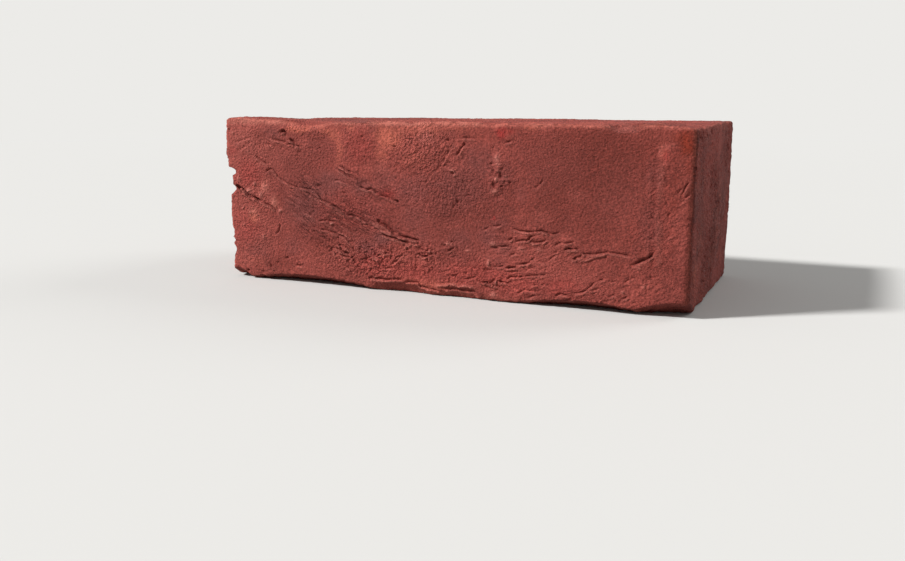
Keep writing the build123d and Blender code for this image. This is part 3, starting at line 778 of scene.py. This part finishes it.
# A painted highlight along the upper rim, and a lighter rubbed tone on the other arrises.
rubbed_and_highlit = np.maximum(1.4 * crest * rim_highlight, 0.3 * fade(arris, 0.4, 1.0))
rubbed_and_highlit *= 0.6 + 0.5 * swell(points, 3.5, 88)
coarse = front * patches(*here, COARSE, *stray)
coarse += elsewhere * 0.9 * fade(swell(points, 26, 85), -0.4, 0.6)
oblique = 1 - np.max(np.abs(normals), axis=1)
broken = fade(oblique, 0.06, 0.2) * fade(arris, 0.0, 0.5)
for name, values in (
    ("broken", broken), ("coarse", coarse), ("rubbed_and_highlit", rubbed_and_highlit), ("hidden", elsewhere),
    ("drawn_side", drawn_side), ("drawn_bed", 0.6 * elsewhere * bed),
):
    add_mask(mesh, name, values)

# How the clay ran: along the bowed folds of each upright face, and straight along the beds.
# A fine crease is this long, deep and high on the shown face, the other sides and the beds.
SHOWN_CREASE = (9.0, 9.0, 1.4)
SIDE_CREASE = (10.0, 10.0, 2.2)
BED_CREASE = (13.0, 3.0, 3.0)
is_shown = (normals[:, 1] < -0.5)[:, None]
bowed = points.copy()
bowed[:, 2] -= 0.004 * points[:, 0] ** 2 + 0.006 * points[:, 1] ** 2 + 3 * swell(points, 24, 97)
bowed[:, 2] += 1.5 * swell(points, 7, 98)
shown_run = points.copy()
shown_run[:, 2] -= FOLD_BOW * (across - FOLD_DIP) ** 2 + 1.2 * swell(points, 14, 96)
side_run = np.where(is_shown, shown_run / SHOWN_CREASE, bowed / SIDE_CREASE)
dragged = points.copy()
dragged[:, 1] += 1.2 * swell(points, 14, 99)
for name, run in (("side_run", side_run), ("bed_run", dragged / BED_CREASE)):
    layer = mesh.attributes.new(name, "FLOAT_VECTOR", "POINT")
    layer.data.foreach_set("vector", run.astype(np.float32).ravel())


def srgb(red, green, blue):
    """A colour as written from 0 to 255, as the shader takes it."""
    shares = [value / 255 for value in (red, green, blue)]
    linear = [s / 12.92 if s <= 0.04045 else ((s + 0.055) / 1.055) ** 2.4 for s in shares]
    return (*linear, 1.0)


CLAY_GLOSS = 0.25
fired_clay = bpy.data.materials.new("fired_clay")
fired_clay.use_nodes = True
nodes = fired_clay.node_tree.nodes
links = fired_clay.node_tree.links
shader = nodes["Principled BSDF"]
shader.inputs["Specular IOR Level"].default_value = CLAY_GLOSS
coordinates = nodes.new("ShaderNodeTexCoord")


def mask(name, output="Fac"):
    """What one of the brick's own masks or runs gives."""
    node = nodes.new("ShaderNodeAttribute")
    node.attribute_name = name
    return node.outputs[output]


def tinted(under, colour, strength):
    """A colour laid over another by a mask."""
    mix = nodes.new("ShaderNodeMix")
    mix.data_type = "RGBA"
    mix.clamp_factor = True
    if isinstance(under, tuple):
        mix.inputs["A"].default_value = under
    else:
        links.new(under, mix.inputs["A"])
    mix.inputs["B"].default_value = colour
    links.new(strength, mix.inputs["Factor"])
    return mix.outputs["Result"]


def ranged(value, low, high, out_low, out_high):
    """A value moved from one range to another and held inside it."""
    node = nodes.new("ShaderNodeMapRange")
    links.new(value, node.inputs["Value"])
    ends = (("From Min", low), ("From Max", high), ("To Min", out_low), ("To Max", out_high))
    for name, end in ends:
        node.inputs[name].default_value = end
    return node.outputs["Result"]


def joined(operation, first, second=None, third=None):
    """Values put together by one operation."""
    node = nodes.new("ShaderNodeMath")
    node.operation = operation
    for index, value in enumerate((first, second, third)):
        if isinstance(value, float):
            node.inputs[index].default_value = value
        elif value is not None:
            links.new(value, node.inputs[index])
    return node.outputs[0]


def times(first, second):
    """One value times another."""
    return joined("MULTIPLY", first, second)


def clouds(size, detail, roughness=0.55, place=coordinates.outputs["Object"]):
    """Random clouds of about this size, in metres or in steps of the given run, from 0 to 1."""
    node = nodes.new("ShaderNodeTexNoise")
    node.inputs["Scale"].default_value = 1 / size
    node.inputs["Detail"].default_value = detail
    node.inputs["Roughness"].default_value = roughness
    links.new(place, node.inputs["Vector"])
    return node.outputs["Fac"]


# A fine crease lies along one level of a drawn-out cloud, and its pale lip, a painted highlight, along
# another.
CREASE_LEVEL = 0.5
CREASE_REACH = 0.04
LIP_LEVEL = 0.565
LIP_REACH = 0.03
CREASE_DEPTH = -0.45
RUN_SWELL = 1.2


def drawn_creases(run, where):
    """Thin creases drawn out along the clay's run: the height, the painted shade in them and the painted
    highlight on their lips.
    """
    cloud = clouds(1, 3, 0.6, mask(run, "Vector"))
    away = joined("ABSOLUTE", joined("SUBTRACT", cloud, CREASE_LEVEL))
    shown = times(ranged(clouds(0.016, 3), 0.42, 0.6, 0.15, 1.0), where)
    crease = ranged(away, 0.0, CREASE_REACH, 1.0, 0.0)
    from_lip = joined("ABSOLUTE", joined("SUBTRACT", cloud, LIP_LEVEL))
    lip = times(ranged(from_lip, 0.0, LIP_REACH, 1.0, 0.0), shown)
    painted_shade = times(crease, shown)
    swells = times(times(cloud, RUN_SWELL), where)
    return joined("MULTIPLY_ADD", painted_shade, CREASE_DEPTH, swells), painted_shade, lip


# The clay is fired red in two depths, with paler and darker flecks, and then coloured by
# the masks of the shown face.
FIRED_RED = srgb(143, 66, 57)
DEEP_RED = srgb(124, 57, 49)
PALE_FLECK = srgb(160, 77, 67)
DARK_FLECK = srgb(112, 50, 44)
colour = tinted(FIRED_RED, DEEP_RED, ranged(clouds(0.045, 3), 0.4, 0.6, 0.0, 1.0))
colour = tinted(colour, PALE_FLECK, ranged(clouds(0.009, 4, 0.6), 0.52, 0.72, 0.0, 0.5))
colour = tinted(colour, DARK_FLECK, ranged(clouds(0.006, 4, 0.6), 0.55, 0.75, 0.0, 0.5))
# The deeper colour is partly painted shade, and the pale one partly a painted highlight.
for name, shade, strength in (
    ("deeper_and_shaded", srgb(108, 43, 33), 0.7),
    ("fresher", srgb(164, 80, 70), 0.7),
    ("pale", srgb(168, 88, 78), 0.7),
    ("flashed", srgb(114, 61, 57), 0.7),
    ("redder", srgb(154, 46, 42), 0.6),
    ("scorched", srgb(138, 49, 29), 0.7),
    ("ochre", srgb(192, 100, 80), 0.7),
):
    colour = tinted(colour, shade, times(mask(name), strength))

# The hidden sides are fired as unevenly, in random clouds: their colour, their strength,
# their size in metres and the range of the clouds that shows.
for shade, strength, size, low, high in (
    (srgb(106, 46, 37), 0.6, 0.056, 0.47, 0.58),
    (srgb(166, 82, 71), 0.5, 0.043, 0.5, 0.62),
    (srgb(112, 60, 57), 0.55, 0.031, 0.52, 0.62),
    (srgb(176, 96, 84), 0.45, 0.023, 0.54, 0.68),
    (srgb(192, 100, 76), 0.5, 0.0185, 0.6, 0.72),
):
    patch = ranged(clouds(size, 6, 0.66), low, high, 0.0, strength)
    colour = tinted(colour, shade, times(mask("hidden"), patch))

# Painted shade in the fine creases and a painted highlight on their lips, broken edges, and then the
# marks: rubbed arrises with a painted highlight along the upper rim, pale grains with painted highlights
# on lips, ridges and lumps, and painted shade in creases, pits and recesses.
CREASE_PAINTED_SHADE = srgb(92, 28, 22)
SHADE_STRENGTH = 0.42
CREASE_LIP_HIGHLIGHT = srgb(188, 108, 96)
LIP_STRENGTH = 0.3
BROKEN_CLAY = srgb(186, 100, 84)
side_height, side_painted_shade, side_lip_highlight = drawn_creases("side_run", mask("drawn_side"))
bed_height, bed_painted_shade, bed_lip_highlight = drawn_creases("bed_run", mask("drawn_bed"))
crease_painted_shade = joined("ADD", side_painted_shade, bed_painted_shade)
crease_lip_highlight = joined("ADD", side_lip_highlight, bed_lip_highlight)
colour = tinted(colour, CREASE_PAINTED_SHADE, times(crease_painted_shade, SHADE_STRENGTH))
colour = tinted(colour, CREASE_LIP_HIGHLIGHT, times(crease_lip_highlight, LIP_STRENGTH))
fresh_break = ranged(clouds(0.004, 3), 0.4, 0.65, 0.1, 0.6)
colour = tinted(colour, BROKEN_CLAY, times(mask("broken"), fresh_break))
for name, shade, strength in (
    ("rubbed_and_highlit", srgb(182, 106, 92), 0.8),
    ("grains_and_highlights", srgb(206, 136, 122), 0.7),
    ("painted_crease_shade", srgb(90, 20, 14), 0.78),
):
    colour = tinted(colour, shade, times(mask(name), strength))

# The sand of the mould: a fine grit, a coarser unevenness and specks of colour.
DARK_SPECK = 0.68
PALE_SPECK = 1.32
PLAINEST_GRIT = 0.42
PLAINEST_SKIN = 0.2
GRIT_HEIGHT = 1.2
SKIN_HEIGHT = 0.9
BUMP_HEIGHT = 0.001
grit = clouds(0.0011, 2, 0.6)
skin = clouds(0.0032, 3, 0.6)
coarse_strength = joined("ADD", mask("coarse"), PLAINEST_GRIT)
speckled = nodes.new("ShaderNodeVectorMath")
speckled.operation = "SCALE"
links.new(colour, speckled.inputs[0])
speck = clouds(0.0008, 1, 0.5)
links.new(ranged(speck, 0.3, 0.7, DARK_SPECK, PALE_SPECK), speckled.inputs["Scale"])
links.new(speckled.outputs["Vector"], shader.inputs["Base Color"])
links.new(ranged(grit, 0.3, 0.7, 0.95, 0.8), shader.inputs["Roughness"])

grit_height = times(times(grit, coarse_strength), GRIT_HEIGHT)
uneven = joined("ADD", mask("coarse"), PLAINEST_SKIN)
skin_height = times(times(skin, uneven), SKIN_HEIGHT)
grain = nodes.new("ShaderNodeBump")
grain.inputs["Distance"].default_value = BUMP_HEIGHT
crease_height = joined("ADD", side_height, bed_height)
links.new(joined("ADD", joined("ADD", grit_height, skin_height), crease_height), grain.inputs["Height"])
links.new(grain.outputs["Normal"], shader.inputs["Normal"])

mesh.materials.clear()
mesh.materials.append(fired_clay)
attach(brick, "root")
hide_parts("brick")

# The floor.
# A plain pale floor under the brick that carries its shadow. Far from the brick it
# takes the colour of the backdrop, so that no horizon shows.
BACKDROP = srgb(236, 235, 232)
FLOOR = srgb(197, 196, 193)
FLOOR_BOUNCE = srgb(140, 139, 137)
FLOOR_SIDES = 96
FLOOR_RADIUS = 40
FLOOR_ROUGHNESS = 0.9
FADE_START = 0.3
FADE_END = 2.0
bpy.ops.mesh.primitive_circle_add(vertices=FLOOR_SIDES, radius=FLOOR_RADIUS, fill_type="NGON")
floor = bpy.context.object
floor.name = "pale_floor"
floor_finish = bpy.data.materials.new("pale_floor")
floor_finish.use_nodes = True
nodes = floor_finish.node_tree.nodes
links = floor_finish.node_tree.links
shader = nodes["Principled BSDF"]
shader.inputs["Roughness"].default_value = FLOOR_ROUGHNESS
glow = nodes.new("ShaderNodeEmission")
glow.inputs["Color"].default_value = BACKDROP
place = nodes.new("ShaderNodeTexCoord")
distance = nodes.new("ShaderNodeVectorMath")
distance.operation = "LENGTH"
links.new(place.outputs["Object"], distance.inputs[0])
away = ranged(distance.outputs["Value"], FADE_START, FADE_END, 0.0, 1.0)
away.node.interpolation_type = "SMOOTHERSTEP"
rays = nodes.new("ShaderNodeLightPath")
direct = joined("MAXIMUM", rays.outputs["Is Camera Ray"], rays.outputs["Is Glossy Ray"])
links.new(tinted(FLOOR_BOUNCE, FLOOR, direct), shader.inputs["Base Color"])
blend = nodes.new("ShaderNodeMixShader")
links.new(times(away, direct), blend.inputs["Fac"])
links.new(shader.outputs["BSDF"], blend.inputs[1])
links.new(glow.outputs["Emission"], blend.inputs[2])
links.new(blend.outputs["Shader"], nodes["Material Output"].inputs["Surface"])
floor.data.materials.append(floor_finish)

# The light.
# A broad lamp above and to the left of the shown face rakes across its relief. A weak one
# behind and the pale surround keep the far sides readable.
KEY_FROM = Vector((-0.63, -0.45, 0.63))
KEY_SPREAD = 8.0
KEY_STRENGTH = 4.9
FILL_FROM = Vector((0.62, 0.6, 0.5))
FILL_SPREAD = 30.0
FILL_STRENGTH = 0.9
SURROUND = 0.36
for name, source, spread, strength in (
    ("key", KEY_FROM, KEY_SPREAD, KEY_STRENGTH),
    ("fill", FILL_FROM, FILL_SPREAD, FILL_STRENGTH),
):
    lamp = bpy.data.lights.new(name, "SUN")
    lamp.angle = math.radians(spread)
    lamp.energy = strength
    holder = bpy.data.objects.new(name, lamp)
    holder.location = source
    holder.rotation_euler = source.to_track_quat("Z", "Y").to_euler()
    scene.collection.objects.link(holder)

world = bpy.data.worlds.new("pale_surround")
world.use_nodes = True
nodes = world.node_tree.nodes
links = world.node_tree.links
surround = nodes["Background"]
surround.inputs["Color"].default_value = (1.0, 1.0, 1.0, 1.0)
surround.inputs["Strength"].default_value = SURROUND
backdrop = nodes.new("ShaderNodeBackground")
backdrop.inputs["Color"].default_value = BACKDROP
rays = nodes.new("ShaderNodeLightPath")
choose = nodes.new("ShaderNodeMixShader")
links.new(rays.outputs["Is Camera Ray"], choose.inputs["Fac"])
links.new(surround.outputs["Background"], choose.inputs[1])
links.new(backdrop.outputs["Background"], choose.inputs[2])
links.new(choose.outputs["Shader"], nodes["World Output"].inputs["Surface"])
scene.world = world

# The camera.
# It stands low in front of the right-hand part of the shown face and looks to the left
# and slightly down, as the photograph was taken.
CAMERA_PLACE = (0.17429, -0.41383, 0.08698)
CAMERA_TURN = 24.649
CAMERA_DIP = 11.307
CAMERA_LENS = 35.0
CAMERA_FILM = 36.0
eye = bpy.data.cameras.new("view")
eye.lens = CAMERA_LENS
eye.sensor_width = CAMERA_FILM
camera = bpy.data.objects.new("view", eye)
camera.location = CAMERA_PLACE
camera.rotation_euler = (math.radians(90 - CAMERA_DIP), 0, math.radians(CAMERA_TURN))
scene.collection.objects.link(camera)
scene.camera = camera
scene.view_settings.view_transform = "Standard"
